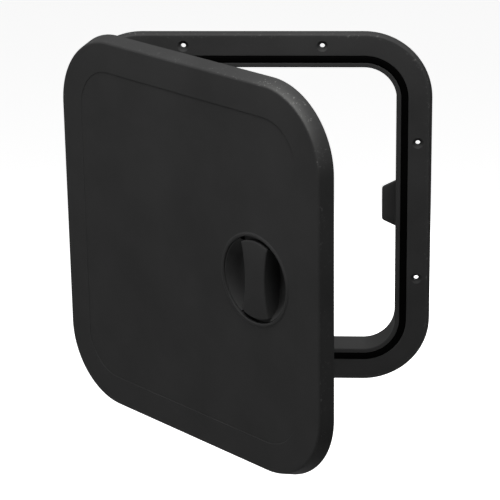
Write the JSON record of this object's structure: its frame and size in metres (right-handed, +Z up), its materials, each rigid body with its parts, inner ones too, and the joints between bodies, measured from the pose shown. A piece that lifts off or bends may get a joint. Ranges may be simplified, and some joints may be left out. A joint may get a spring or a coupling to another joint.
{
  "type": "access hatch",
  "caption": "Moulded plastic access hatch: rounded flange frame with neck and seal, a side-hinged lid that covers it, and a quarter-turn finger latch.",
  "frame": {"origin": "centre of the hatch on the wall plane, which is the flange's back face", "axes": "+X towards the latch side, -Y out of the wall towards the user, +Z up"},
  "size_m": [0.3715, 0.2984, 0.393],
  "materials": {
    "frame_plastic": "satin moulded plastic, fine grain",
    "lid_plastic": "satin moulded plastic, fine grain",
    "latch_plastic": "satin moulded plastic",
    "pawl_plastic": "glass-filled moulded plastic",
    "seal_rubber": "dull black rubber",
    "pin_steel": "plain stainless steel",
    "ring_steel": "spring steel, dull"
  },
  "bodies": {
    "frame": {"frame": "frame_plastic", "seal": "seal_rubber"},
    "lid": {"lid": "lid_plastic", "lid_rim": "lid_plastic", "seal_rib": "lid_plastic", "hinge_pin_lower": "pin_steel", "hinge_pin_upper": "pin_steel"},
    "latch": {"knob": "latch_plastic", "latch_ring": "ring_steel", "pawl": "pawl_plastic"}
  },
  "joints": [
    {"name": "lid_hinge", "type": "hinge", "parent": "frame", "child": "lid", "pos_m": [-0.185, -0.0055, 0], "axis": [0, 0, -1], "range_deg": [-44, 61]},
    {"name": "latch_turn", "type": "hinge", "parent": "lid", "child": "latch", "pos_m": [0.01008, -0.20987, 0], "axis": [0.6947, 0.7193, 0], "range_deg": [-90, 0]}
  ]
}
